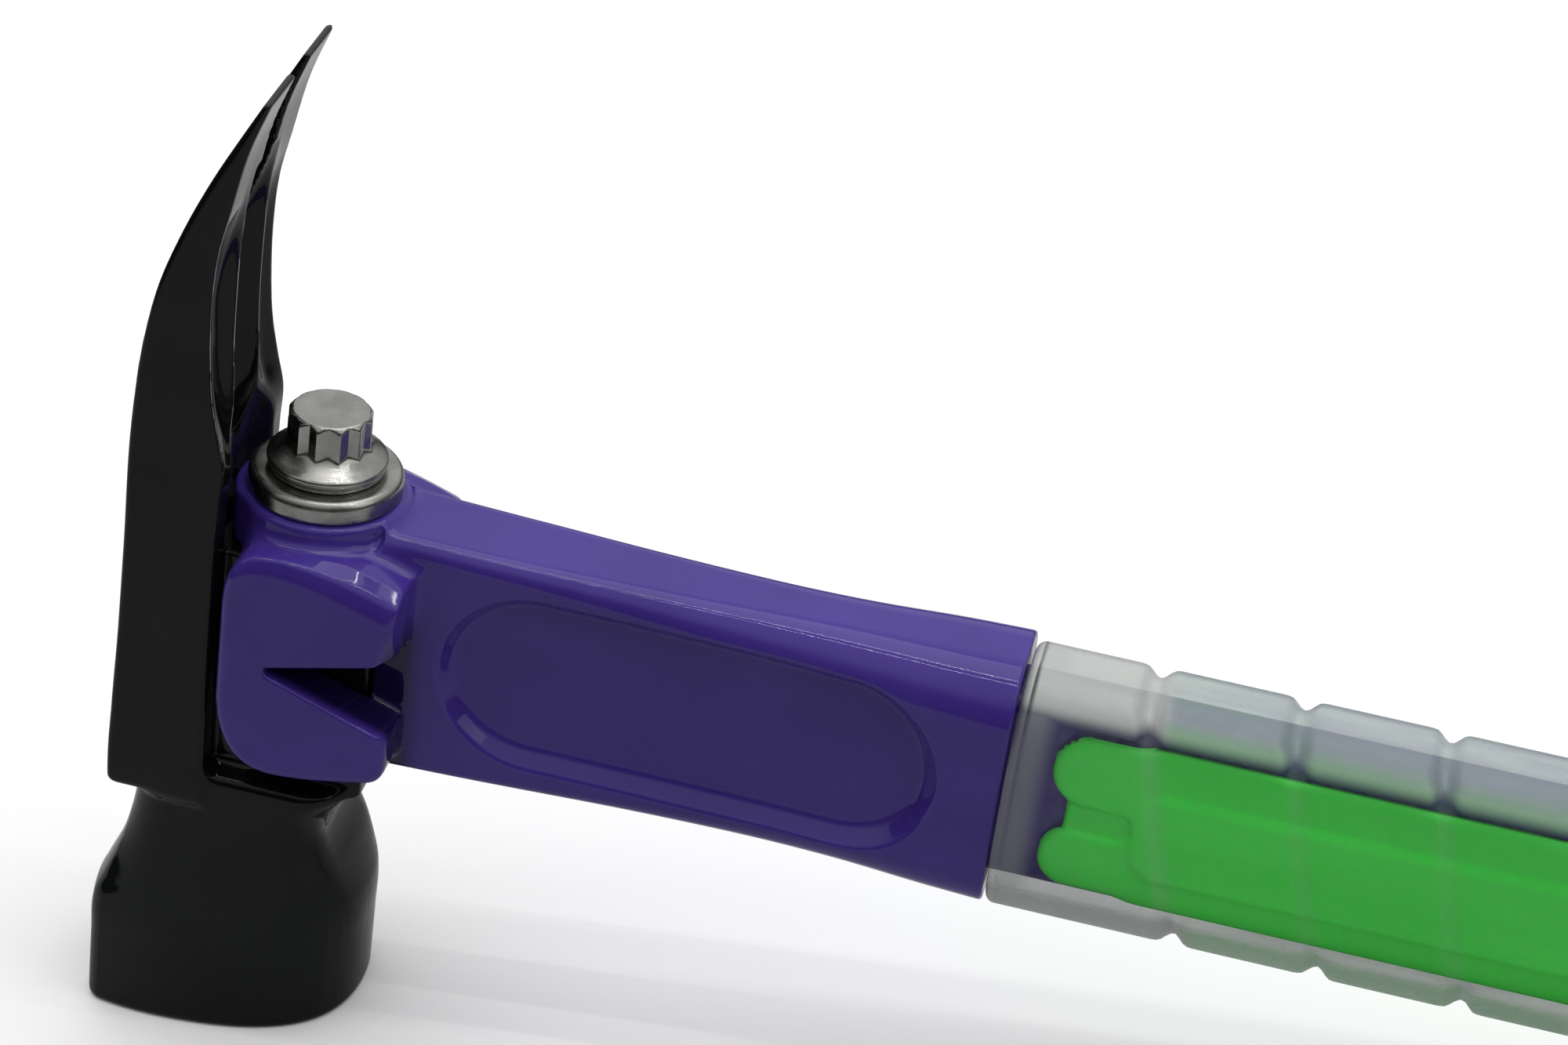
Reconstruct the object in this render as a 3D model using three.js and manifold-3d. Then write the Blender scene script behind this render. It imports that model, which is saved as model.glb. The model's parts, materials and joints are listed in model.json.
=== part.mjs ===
// A bolt-together framing hammer: a one-piece steel claw head clamped by one bolt into the
// cradle of a one-piece titanium handle, with a clear urethane grip cast over the handle's core.
// Units are millimetres. Every piece is drawn in the hammer's own axes and the whole hammer is
// then leaned by FACE_CANT, so that it stands on its canted striking face and the end of its grip.
//   Hammer axes: x along the handle towards the butt, y across, z up the head towards the claw,
//   with the zero on the bolt's axis at the underside of the washer.
//   Exported axes: zero at the centre of the striking face, +Z up out of the face.
import * as THREE from 'three';
import { mergeVertices } from 'three/addons/utils/BufferGeometryUtils.js';
import Module from 'manifold-3d';

const wasm = await Module();
wasm.setup();

// ---- driving dimensions ---------------------------------------------------------------------
const FACE_CANT = Math.atan(0.1166);      // lean of the striking face against the bolt's axis
const GAP = 0.3;                          // clearance between neighbouring pieces

// bolt and washer: 3/8 in flanged twelve-point bolt on a 3/4 in washer
const BOLT = { shank: 4.7, end: -30, flangeR: 7.45, flangeTop: 4.9, coneTop: 6.4, top: 11.0,
  points: 12, pointR: 5.35, valleyR: 4.8, topR: 4.75, bevel: 0.6 };
const WASHER = { r: 9.525, hole: 5.0, thick: 3.05, bevel: 0.4 };
const BOLT_HOLE = 5.0;

// head
const HEAD = { halfWidth: 12, tongueHalf: 8, tongueRear: 9.5, tongueTop: -7.3, shoulder: -39,
  spineRear: -9.7, ledge: -43, slotTip: 2.7, slotRoot: 2.05, slotEnd: 16 };
const FACE = { x: -7.7, z: -76.2 };       // centre of the striking face
const MAGNET = { r: 3, z: -49, face: -18.9, back: -14, seatFront: -21.5 };

// cradle and shank of the handle
const CRADLE = { half: 15, channelRear: 9.8, roof: -7, bossR: 10.3, noseR: 11, noseHalf: 6,
  webRear: 16, webHalf: 6.9 };
const SHANK = { start: 9.8, end: 88.5 };
const POCKET = { x0: 18.4, x1: 80.5, top: -5.3, bottom: -29.5, depth: 2.2 };
const CORE = { half: 5, top: -6.3, bottom: -31, end: 326 };
const WINDOW = { x0: 116, x1: 300, top: -12.5, bottom: -25.5, round: 5 };

// grip and the coloured plates under it
const GRIP = { start: 88.8, end: 334, middle: -18.6, halfHeight: 17, halfWidth: 10.5, power: 2.8,
  ringPoints: 28, ringStep: 2.6, buttRound: 5, flareStart: 296, flareLength: 28, flareWidth: 0.8 };
const GROOVE = { first: 108.3, pitch: 17.75, count: 11, lean: 0.26, depth: 1.3, half: 2.6 };
const PLATE = { start: 94, end: 318, top: -7.4, bottom: -29.2, thick: 1.9, slotStart: 104.5,
  slotTop: -17.3, slotBottom: -20.8 };

// The butt swells down just far enough to touch the surface that the striking face stands on.
const standingHeight = (x) => FACE.z + (x - FACE.x) * Math.tan(FACE_CANT);
const BUTT_DROP = GRIP.middle - GRIP.halfHeight - standingHeight(GRIP.end - GRIP.buttRound);

const COLOURS = { steel: 0x141716, titanium: 0x3a2590, bolt: 0xa7a49c, clear: 0xdfe6dc,
  plate: 0x2fb23e, magnet: 0xb9bcc0 };

// ---- solids ---------------------------------------------------------------------------------
// A closed three.js geometry as a solid that can be joined and cut.
function solid(geometry) {
  const bare = geometry.index ? geometry.toNonIndexed() : geometry.clone();
  bare.deleteAttribute('normal');
  bare.deleteAttribute('uv');
  const merged = mergeVertices(bare, 1e-4);
  const kept = [];
  const index = merged.index.array;
  for (let i = 0; i < index.length; i += 3) {
    const [a, b, c] = [index[i], index[i + 1], index[i + 2]];
    if (a !== b && b !== c && c !== a) kept.push(a, b, c);
  }
  const vertProperties = new Float32Array(merged.attributes.position.array);
  const body = new wasm.Manifold(new wasm.Mesh({ numProp: 3, vertProperties,
    triVerts: new Uint32Array(kept) }));
  if (body.volume() > 0) return body;
  return new wasm.Manifold(new wasm.Mesh({ numProp: 3, vertProperties,
    triVerts: new Uint32Array(kept.reverse()) }));
}

function geometryOf(body) {
  const mesh = body.getMesh();
  const geometry = new THREE.BufferGeometry();
  geometry.setAttribute('position', new THREE.BufferAttribute(mesh.vertProperties, 3));
  geometry.setIndex(new THREE.BufferAttribute(mesh.triVerts, 1));
  geometry.computeVertexNormals();
  return geometry;
}

// Closed skin over rings of equal point count, with a fan over each end ring.
function loft(rings) {
  const count = rings[0].length;
  const points = rings.flat();
  const faces = [];
  for (let r = 0; r + 1 < rings.length; r += 1) {
    for (let i = 0; i < count; i += 1) {
      const j = (i + 1) % count;
      const [a, b, c, d] = [r * count + i, r * count + j, (r + 1) * count + j, (r + 1) * count + i];
      faces.push(a, b, c, a, c, d);
    }
  }
  [0, rings.length - 1].forEach((r) => {
    const centre = rings[r].reduce((sum, p) => sum.add(p), new THREE.Vector3()).divideScalar(count);
    points.push(centre);
    const hub = points.length - 1;
    for (let i = 0; i < count; i += 1) {
      const j = (i + 1) % count;
      if (r === 0) faces.push(hub, r * count + j, r * count + i);
      else faces.push(hub, r * count + i, r * count + j);
    }
  });
  const geometry = new THREE.BufferGeometry().setFromPoints(points);
  geometry.setIndex(faces);
  return solid(geometry);
}

// An outline drawn in (x, z), as a slab from y0 to y1.
function slab(shape, y0, y1, curveSegments = 12) {
  const geometry = new THREE.ExtrudeGeometry(shape, { depth: y1 - y0, bevelEnabled: false,
    curveSegments });
  geometry.rotateX(Math.PI / 2);
  geometry.translate(0, y1, 0);
  return solid(geometry);
}

function polygon(points) {
  return new THREE.Shape(points.map(([x, z]) => new THREE.Vector2(x, z)));
}

// A body of revolution about the bolt's axis, from an (r, z) profile.
function turned(profile, segments = 48) {
  const points = profile.map(([r, z]) => new THREE.Vector2(r, z));
  const geometry = new THREE.LatheGeometry(points, segments);
  geometry.rotateX(Math.PI / 2);
  return solid(geometry);
}

function post(radius, z0, z1, segments = 48) {
  return turned([[0, z0], [radius, z0], [radius, z1], [0, z1]], segments);
}

function block(x0, x1, y0, y1, z0, z1) {
  const geometry = new THREE.BoxGeometry(x1 - x0, y1 - y0, z1 - z0);
  geometry.translate((x0 + x1) / 2, (y0 + y1) / 2, (z0 + z1) / 2);
  return solid(geometry);
}

// One point of a superellipse: angle in radians, half sizes a and b, power n.
function superellipse(angle, a, b, n) {
  const [c, s] = [Math.cos(angle), Math.sin(angle)];
  return [a * Math.sign(c) * Math.abs(c) ** (2 / n), b * Math.sign(s) * Math.abs(s) ** (2 / n)];
}

// ---- head -----------------------------------------------------------------------------------
function clawAndSpine() {
  const front = new THREE.SplineCurve([[-7.2, 55.5], [-12.7, 45.3], [-18.7, 29.8], [-21.2, 12],
    [-21.6, -8], [-22.3, -36]].map((p) => new THREE.Vector2(...p)));
  const rear = new THREE.SplineCurve([[-9.6, 5.7], [-11.4, 14.6], [-12.1, 26], [-10.4, 41],
    [-6.7, 55.3]].map((p) => new THREE.Vector2(...p)));
  const outline = [...front.getPoints(20), new THREE.Vector2(-21.9, HEAD.ledge + 0.8),
    new THREE.Vector2(-21.1, HEAD.ledge), new THREE.Vector2(HEAD.spineRear, HEAD.ledge),
    new THREE.Vector2(HEAD.spineRear, 4), ...rear.getPoints(16)];
  return slab(new THREE.Shape(outline), -HEAD.halfWidth, HEAD.halfWidth);
}

// The ridge that runs up each side of the nail slot, standing proud of the tines' rear.
function ridge() {
  const outline = [[-14, 2], [-10.3, 2], [-10.6, 6], [-11.3, 14], [-11.3, 34], [-10.2, 41],
    [-14, 41]];
  return slab(polygon(outline), -4.6, 4.6);
}

function nailSlot() {
  const { slotTip, slotRoot, slotEnd } = HEAD;
  const rings = [[60, slotTip], [slotEnd, slotRoot], [slotEnd - slotRoot, 0.05]].map(([z, half]) => [
    new THREE.Vector3(-30, -half, z), new THREE.Vector3(-30, half, z),
    new THREE.Vector3(0, half, z), new THREE.Vector3(0, -half, z)]);
  return loft(rings);
}

// Vee between the ridges, which deepens from the tines down to the slot's root and dies out below it.
function slotValley() {
  const levels = [ // height, floor x, half width on the floor and at the mouth
    [45, -9, 2.5, 4.4], [30, -14, 2.3, 7], [12, -15.4, 2.1, 7], [1.5, -12, 1.8, 6]];
  return loft(levels.map(([z, floor, half, mouth]) => [
    new THREE.Vector3(floor, -half, z), new THREE.Vector3(floor, half, z),
    new THREE.Vector3(-5, mouth, z), new THREE.Vector3(-5, -mouth, z)]));
}

// Neck and poll: rings up the head, boxy at the neck and round at the striking face.
function neckAndPoll() {
  const levels = [ // height, front x, rear x, half width, power; lowest ring lies in the face
    [-76.2, -23.3, 7.9, 12.4, 2.7], [-75.2, -24.2, 8.9, 13.3, 2.7], [-69, -25.1, 9.9, 14, 2.8],
    [-60, -24.7, 9.8, 13.9, 2.9], [-56.5, -23.4, 9.1, 13, 3.1], [-53, -21.9, 7.9, 12.1, 3.6],
    [-49.5, -20.6, 6.1, 11.5, 4.2], [-46.5, -19.9, 5, 11.4, 4.6], [-43, -19.9, 7.4, 11.7, 5],
    [HEAD.shoulder, -19.9, 9.4, 11.9, 5.5]];
  const slope = Math.tan(FACE_CANT);
  const steps = 40;
  return loft(levels.map(([height, front, rear, half, power], level) => {
    const lean = Math.max(0, 1 - level / 3) * slope;
    return Array.from({ length: steps }, (_, i) => {
      const [dx, y] = superellipse((2 * Math.PI * i) / steps, (rear - front) / 2, half, power);
      const x = (rear + front) / 2 + dx;
      return new THREE.Vector3(x, y, height + lean * (x - FACE.x));
    });
  }));
}

function headBody() {
  const tongue = block(-12, HEAD.tongueRear, -HEAD.tongueHalf, HEAD.tongueHalf,
    HEAD.shoulder - 3, HEAD.tongueTop);
  const noseRelief = turned([[0, HEAD.tongueTop], [CRADLE.noseR + 0.4, HEAD.tongueTop],
    [CRADLE.noseR + 0.4, 16], [CRADLE.noseR - 0.1, 30], [0, 30]]);
  const boltHole = post(BOLT_HOLE, BOLT.end - 1.5, 0);
  const groove = nailGroove();
  const magnetSeat = crossPost(MAGNET.r + GAP / 2, MAGNET.seatFront, MAGNET.back + GAP);
  return clawAndSpine().add(ridge()).subtract(nailSlot()).subtract(slotValley())
    .subtract(noseRelief).add(tongue).add(neckAndPoll())
    .subtract(boltHole).subtract(groove).subtract(magnetSeat);
}

// Round bar along x at the magnet's height.
function crossPost(radius, x0, x1) {
  const geometry = new THREE.CylinderGeometry(radius, radius, x1 - x0, 24);
  geometry.rotateZ(Math.PI / 2);
  geometry.translate((x0 + x1) / 2, 0, MAGNET.z);
  return solid(geometry);
}

// Vee down the front of the poll that lines a nail up under the spine's ledge.
function nailGroove() {
  const geometry = new THREE.ExtrudeGeometry(polygon([[-30, -8], [-30, 8], [-18.6, 1], [-18.6, -1]]),
    { depth: HEAD.ledge + 90, bevelEnabled: false });
  geometry.translate(0, 0, -90);
  return solid(geometry);
}

// ---- handle ---------------------------------------------------------------------------------
// Half width, top, bottom and corner radius of the shank's section at x.
function shankSection(x) {
  const t = THREE.MathUtils.clamp((x - 52) / (SHANK.end - 52), 0, 1);
  const swell = t * t * (3 - 2 * t);
  const waist = Math.sin(Math.PI * THREE.MathUtils.clamp((x - SHANK.start) / 80, 0, 1));
  return { half: 6.9 + 2.9 * swell, top: -1.15 - 0.6 * waist + 0.3 * swell,
    bottom: -34.7 + 0.5 * waist - 0.5 * swell, round: 2 + 5 * swell };
}

function roundedRing(x, { half, top, bottom, round }, perCorner = 5) {
  const corners = [[half - round, top - round, 0], [-half + round, top - round, 90],
    [-half + round, bottom + round, 180], [half - round, bottom + round, 270]];
  return corners.flatMap(([y, z, from]) => Array.from({ length: perCorner }, (_, i) => {
    const angle = THREE.MathUtils.degToRad(from + (90 * i) / (perCorner - 1));
    return new THREE.Vector3(x, y + round * Math.cos(angle), z + round * Math.sin(angle));
  }));
}

function shank() {
  const steps = 12;
  const rings = Array.from({ length: steps + 1 }, (_, i) => {
    const x = THREE.MathUtils.lerp(SHANK.start, SHANK.end, i / steps);
    return roundedRing(x, shankSection(x));
  });
  return loft(rings);
}

function pocketShape() {
  const { x0, x1, top, bottom } = POCKET;
  const r = (top - bottom) / 2;
  const mid = (top + bottom) / 2;
  const shape = new THREE.Shape();
  shape.absarc(x1 - r, mid, r, -Math.PI / 2, Math.PI / 2);
  shape.absarc(x0 + r, mid, r, Math.PI / 2, (3 * Math.PI) / 2);
  return shape;
}

function cheekShape() {
  const shape = new THREE.Shape();
  shape.moveTo(12.6, -6.2);
  shape.lineTo(13.7, -8.2);
  shape.lineTo(13.4, -12.8);
  shape.quadraticCurveTo(13.1, -14.4, 11.6, -14.8);
  shape.lineTo(-1.4, -18.2);
  shape.lineTo(-1.2, -19.4);
  shape.lineTo(13.0, -24.6);
  shape.quadraticCurveTo(13.9, -25, 13.9, -26.2);
  shape.lineTo(13.7, -30.6);
  shape.quadraticCurveTo(13.6, -31.8, 12.2, -32);
  shape.quadraticCurveTo(4, -34.2, -1, -34.2);
  shape.quadraticCurveTo(-7, -33.4, -8.1, -25.5);
  shape.lineTo(-8.1, -11);
  shape.quadraticCurveTo(-8, -2.6, -2.4, -2.5);
  shape.quadraticCurveTo(6, -2.5, 12.6, -6.2);
  return shape;
}

function cradle() {
  const cheeks = slab(cheekShape(), -CRADLE.half, CRADLE.half);
  const channel = block(-20, CRADLE.channelRear, -HEAD.tongueHalf - GAP, HEAD.tongueHalf + GAP,
    -60, CRADLE.roof);
  const web = block(CRADLE.channelRear, CRADLE.webRear, -CRADLE.webHalf, CRADLE.webHalf, -34, -2);
  const boss = post(CRADLE.bossR, CRADLE.roof, 0);
  const nose = post(CRADLE.noseR, CRADLE.roof, 0)
    .intersect(block(-20, 0, -CRADLE.noseHalf, CRADLE.noseHalf, -20, 5));
  return cheeks.subtract(channel).add(web).add(boss).add(nose);
}

// The window through the core that lightens the handle, or the block that fills it.
function windowShape(shrink) {
  const { x0, x1, top, bottom } = WINDOW;
  const r = WINDOW.round - shrink;
  const shape = new THREE.Shape();
  shape.absarc(x1 - shrink - r, top - shrink - r, r, 0, Math.PI / 2);
  shape.absarc(x0 + shrink + r, top - shrink - r, r, Math.PI / 2, Math.PI);
  shape.absarc(x0 + shrink + r, bottom + shrink + r, r, Math.PI, 1.5 * Math.PI);
  shape.absarc(x1 - shrink - r, bottom + shrink + r, r, 1.5 * Math.PI, 2 * Math.PI);
  return shape;
}

function handleBody() {
  const core = loft([SHANK.end - 2, CORE.end].map((x) => roundedRing(x,
    { half: CORE.half, top: CORE.top, bottom: CORE.bottom, round: 2 })));
  const floor = shankSection(40).half - POCKET.depth;
  const pockets = slab(pocketShape(), -20, -floor).add(slab(pocketShape(), floor, 20));
  const opening = slab(windowShape(0), -CORE.half - 1, CORE.half + 1, 6);
  return cradle().add(shank()).add(core).subtract(post(BOLT_HOLE, -12, 4))
    .subtract(pockets).subtract(opening);
}

// ---- grip and plates ------------------------------------------------------------------------
// Depth that the leaning grooves take off the grip at one place.
function grooveDepth(x, z) {
  const along = x - GROOVE.first - GROOVE.lean * (GRIP.middle - z);
  const nearest = THREE.MathUtils.clamp(Math.round(along / GROOVE.pitch), 0, GROOVE.count - 1);
  const off = Math.abs(along - nearest * GROOVE.pitch) / GROOVE.half;
  return off < 1 ? GROOVE.depth * (0.5 + 0.5 * Math.cos(Math.PI * off)) : 0;
}

// How far the grip's underside and sides swell towards the butt, from 0 to 1.
function flare(x) {
  return THREE.MathUtils.smoothstep(x, GRIP.flareStart, GRIP.flareStart + GRIP.flareLength);
}

function gripRing(x, shrink) {
  const swell = flare(x);
  return Array.from({ length: GRIP.ringPoints }, (_, i) => {
    const angle = (2 * Math.PI * i) / GRIP.ringPoints;
    const [y0, z0] = superellipse(angle, GRIP.halfWidth + GRIP.flareWidth * swell - shrink,
      GRIP.halfHeight - shrink, GRIP.power);
    const drop = z0 < 0 ? 1 + (BUTT_DROP * swell) / GRIP.halfHeight : 1;
    const z = GRIP.middle + z0 * drop;
    const cut = 1 - grooveDepth(x, z) / GRIP.halfHeight;
    return new THREE.Vector3(x, y0 * cut, GRIP.middle + z0 * drop * cut);
  });
}

function plateShape() {
  const { start, end, top, bottom, slotStart, slotTop, slotBottom } = PLATE;
  const shape = new THREE.Shape();
  const round = (top - slotTop) / 2;
  const lower = (slotBottom - bottom) / 2;
  shape.moveTo(end, bottom);
  shape.lineTo(end, top);
  shape.absarc(start + round, top - round, round, Math.PI / 2, (3 * Math.PI) / 2);
  shape.lineTo(slotStart, slotTop);
  shape.lineTo(slotStart, slotBottom);
  shape.absarc(start + lower, slotBottom - lower, lower, Math.PI / 2, (3 * Math.PI) / 2);
  shape.lineTo(end, bottom);
  return shape;
}

function plate(side) {
  const inner = CORE.half + GAP;
  const outer = inner + PLATE.thick;
  const [y0, y1] = side < 0 ? [-outer, -inner] : [inner, outer];
  const [w0, w1] = side < 0 ? [-inner - 1, -GAP / 2] : [GAP / 2, inner + 1];
  return slab(plateShape(), y0, y1, 8).add(slab(windowShape(GAP), w0, w1, 6));
}

function gripBody() {
  const rings = [];
  const straight = GRIP.end - GRIP.buttRound - 1;
  for (let x = GRIP.start; x < straight; x += GRIP.ringStep) rings.push(gripRing(x, 0));
  [GRIP.buttRound, 3.5, 2, 0.9, 0].forEach((back, i) => rings.push(gripRing(GRIP.end - back, i * i * 0.3)));
  const coreRoom = loft([SHANK.end - 4, CORE.end + GAP].map((x) => roundedRing(x,
    { half: CORE.half + GAP, top: CORE.top + GAP, bottom: CORE.bottom - GAP, round: 2 })));
  const reach = CORE.half + 2 * GAP + PLATE.thick; // outside of the plate and its gap
  const plateRoom = block(SHANK.end - 4, PLATE.end + GAP, -reach, reach,
    PLATE.bottom - GAP, PLATE.top + GAP);
  return loft(rings).subtract(coreRoom).subtract(plateRoom);
}

// ---- bolt and washer ------------------------------------------------------------------------
function boltBody() {
  const b = BOLT;
  const base = WASHER.thick + 0.02;
  const flange = turned([[0, base], [b.flangeR - 0.3, base], [b.flangeR, base + 0.4],
    [b.flangeR, b.flangeTop - 0.3], [b.flangeR - 0.4, b.flangeTop], [b.pointR, b.coneTop],
    [0, b.coneTop]]);
  const star = new THREE.Shape(Array.from({ length: 2 * b.points }, (_, i) => {
    const r = i % 2 ? b.valleyR : b.pointR;
    const angle = (Math.PI * i) / b.points;
    return new THREE.Vector2(r * Math.cos(angle), r * Math.sin(angle));
  }));
  const prism = new THREE.ExtrudeGeometry(star, { depth: b.top - base - 0.5, bevelEnabled: false });
  prism.translate(0, 0, base + 0.5);
  const crown = turned([[0, base], [8, base], [8, b.top - b.bevel - 0.6], [b.topR, b.top],
    [0, b.top]]);
  const shankBar = turned([[0, b.end], [b.shank - 0.8, b.end], [b.shank, b.end + 0.8],
    [b.shank, base + 0.5], [0, base + 0.5]], 36);
  return flange.add(solid(prism).intersect(crown)).add(shankBar);
}

function washerBody() {
  const { r, hole, thick, bevel } = WASHER;
  return turned([[hole, 0.02], [r - 0.2, 0.02], [r, 0.22], [r, thick - bevel],
    [r - bevel, thick], [hole + 0.2, thick], [hole, thick - 0.2], [hole, 0.02]]);
}

// ---- assembly -------------------------------------------------------------------------------
function mesh(name, body, colour, roughness, metalness, extra = {}) {
  const material = new THREE.MeshStandardMaterial({ color: colour, roughness, metalness, ...extra });
  const item = new THREE.Mesh(geometryOf(body), material);
  item.name = name;
  return item;
}

const hammer = new THREE.Group();
hammer.add(
  mesh('handle_frame', handleBody(), COLOURS.titanium, 0.25, 0.2),
  mesh('hammer_head', headBody(), COLOURS.steel, 0.12, 0.3),
  mesh('nail_magnet', crossPost(MAGNET.r, MAGNET.face, MAGNET.back), COLOURS.magnet, 0.3, 1),
  mesh('head_bolt', boltBody(), COLOURS.bolt, 0.25, 1),
  mesh('bolt_washer', washerBody(), COLOURS.bolt, 0.35, 1),
  mesh('grip_sleeve', gripBody(), COLOURS.clear, 0.35, 0, { transparent: true, opacity: 0.4 }),
  mesh('grip_plate_left', plate(-1), COLOURS.plate, 0.5, 0),
  mesh('grip_plate_right', plate(1), COLOURS.plate, 0.5, 0),
);
hammer.rotation.y = FACE_CANT;
hammer.position.set(-FACE.x, 0, -FACE.z).applyAxisAngle(new THREE.Vector3(0, 1, 0), FACE_CANT);

const object = new THREE.Group();
object.add(hammer);
export default object;
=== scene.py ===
# %% [markdown]
# # A bolt-together framing hammer
#
# The hammer is eight pieces: a one-piece black steel head, a magnet pressed into it, a one-piece
# titanium handle, the bolt and washer that clamp the two together, a clear grip cast over the
# handle's core, and two green plates that show through the grip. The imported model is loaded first,
# as a fixed frame. Each piece below is then made again with its fillets, grooves and finish, in the
# same place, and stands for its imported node.

# %% Load the frame
import json
import math
import bpy
import numpy as np
from mathutils import Matrix


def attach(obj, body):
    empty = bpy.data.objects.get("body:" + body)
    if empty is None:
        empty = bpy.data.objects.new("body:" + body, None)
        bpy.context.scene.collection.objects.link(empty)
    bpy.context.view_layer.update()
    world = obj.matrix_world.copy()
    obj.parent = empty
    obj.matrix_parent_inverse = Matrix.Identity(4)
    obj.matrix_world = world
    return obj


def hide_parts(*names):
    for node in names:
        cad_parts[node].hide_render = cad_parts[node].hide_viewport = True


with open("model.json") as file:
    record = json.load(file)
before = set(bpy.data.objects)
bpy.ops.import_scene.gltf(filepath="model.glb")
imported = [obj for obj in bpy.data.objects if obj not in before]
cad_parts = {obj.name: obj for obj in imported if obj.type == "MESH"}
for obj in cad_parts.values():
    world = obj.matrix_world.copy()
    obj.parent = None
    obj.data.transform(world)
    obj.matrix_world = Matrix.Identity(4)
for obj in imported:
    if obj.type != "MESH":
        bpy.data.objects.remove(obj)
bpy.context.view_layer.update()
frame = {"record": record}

# %% [markdown]
# ## The hammer's own axes
#
# The hammer stands on its canted striking face and on the end of its grip, so its bolt leans. The
# shapes are far easier to write in the hammer's own axes: x along the handle, y across and z up the
# bolt, in millimetres, with the zero under the washer. The lean and the zero both come from the
# bolt's joint in the record, so nothing here is fitted by eye.

# %% From the hammer's axes to the frame
bolt_joint = next(j for j in frame["record"]["behaviour"]["joints"] if j["name"] == "bolt_turn")
lean = math.atan2(bolt_joint["axis"][0], bolt_joint["axis"][2])
bolt_seat = np.array(bolt_joint["pos_m"])
LEAN = np.array([[math.cos(lean), 0, math.sin(lean)], [0, 1, 0], [-math.sin(lean), 0, math.cos(lean)]])
MM = 0.001


def placed(points):
    """Points in the hammer's axes (mm), turned by the lean and moved to the bolt's seat (m)."""
    return points * MM @ LEAN.T + bolt_seat


print("lean", round(math.degrees(lean), 2), "degrees")

# %% [markdown]
# ## The camera comes first
#
# The camera looks down at about 32 degrees from the open side of the hammer, through a long lens, so
# that the sides of the shank stay nearly parallel.

# %% Camera
CAMERA_AT = np.array([116.5, -421.24, 271.85])  # mm, hammer axes
CAMERA_TURN, CAMERA_TILT, CAMERA_ROLL = np.radians([8.083, 31.692, 8.266])
SENSOR, LENS = 36.0, 96.06


def camera_axes(turn, tilt, roll):
    """Right, up and backward directions: turned about z, tilted down, then rolled about the view."""
    right = np.array([np.cos(turn), np.sin(turn), 0])
    up = np.array([-np.sin(turn) * np.sin(tilt), np.cos(turn) * np.sin(tilt), np.cos(tilt)])
    back = np.array([np.sin(turn) * np.cos(tilt), -np.cos(turn) * np.cos(tilt), np.sin(tilt)])
    return right * np.cos(roll) + up * np.sin(roll), up * np.cos(roll) - right * np.sin(roll), back


def add_camera():
    """A camera object with those axes as the columns of its matrix."""
    lens = bpy.data.cameras.new("camera")
    lens.sensor_width, lens.lens = SENSOR, LENS
    lens.clip_start, lens.clip_end = 0.01, 50
    camera = bpy.data.objects.new("camera", lens)
    matrix = np.eye(4)
    for column, axis in enumerate(camera_axes(CAMERA_TURN, CAMERA_TILT, CAMERA_ROLL)):
        matrix[:3, column] = LEAN @ axis
    matrix[:3, 3] = placed(CAMERA_AT)
    camera.matrix_world = Matrix(matrix.tolist())
    bpy.context.collection.objects.link(camera)
    bpy.context.scene.camera = camera


add_camera()

# %% [markdown]
# ## Light and floor
#
# A black gloss coat only looks black when it has something dark to reflect, and a fillet only shows
# as a fine bright line when something narrow and bright is reflected in it. So the room is bright
# overhead and behind, dark at the horizon and in front, and two long thin lamps hang above the
# hammer. The gloss sees only a small dim sheet of the floor. What the camera sees directly stays a
# plain pale grey.

# %% Room, lamps and floor
SKY, HORIZON, BACKDROP = 0.80, 0.03, 0.98
SKY_TILT = math.radians(16)
SKY_DARK_BELOW, SKY_BRIGHT_ABOVE = 0.06, 0.62
FLOOR_TONE, FLOOR_BOUNCE, FLOOR_SIZE = 1.0, 0.52, 14.0


def node(tree, kind, **values):
    """A shader node, with its inputs set by name or number."""
    item = tree.nodes.new(kind)
    for key, value in values.items():
        item.inputs[int(key[1:]) if key[0] == "_" else key].default_value = value
    return item


def light_room():
    """Radiance by direction: dark low down and in front, bright overhead; the camera sees plain grey."""
    world = bpy.data.worlds.new("room")
    bpy.context.scene.world = world
    world.use_nodes = True
    tree = world.node_tree
    tree.nodes.clear()
    where = tree.nodes.new("ShaderNodeTexCoord")
    tilt = node(tree, "ShaderNodeVectorMath", _1=(0, math.sin(SKY_TILT), math.cos(SKY_TILT)))
    tilt.operation = "DOT_PRODUCT"
    ramp = tree.nodes.new("ShaderNodeValToRGB")
    ramp.color_ramp.interpolation = "EASE"
    low, high = ramp.color_ramp.elements
    low.position, low.color = SKY_DARK_BELOW, (HORIZON, HORIZON, HORIZON * 1.05, 1)
    high.position, high.color = SKY_BRIGHT_ABOVE, (SKY, SKY, SKY * 1.01, 1)
    room = node(tree, "ShaderNodeBackground", Strength=1.0)
    seen = node(tree, "ShaderNodeBackground", Color=(BACKDROP, BACKDROP, BACKDROP, 1))
    path = tree.nodes.new("ShaderNodeLightPath")
    mix = tree.nodes.new("ShaderNodeMixShader")
    out = tree.nodes.new("ShaderNodeOutputWorld")
    tree.links.new(where.outputs["Generated"], tilt.inputs[0])
    tree.links.new(tilt.outputs["Value"], ramp.inputs[0])
    tree.links.new(ramp.outputs[0], room.inputs["Color"])
    tree.links.new(path.outputs["Is Camera Ray"], mix.inputs[0])
    tree.links.new(room.outputs[0], mix.inputs[1])
    tree.links.new(seen.outputs[0], mix.inputs[2])
    tree.links.new(mix.outputs[0], out.inputs[0])


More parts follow.
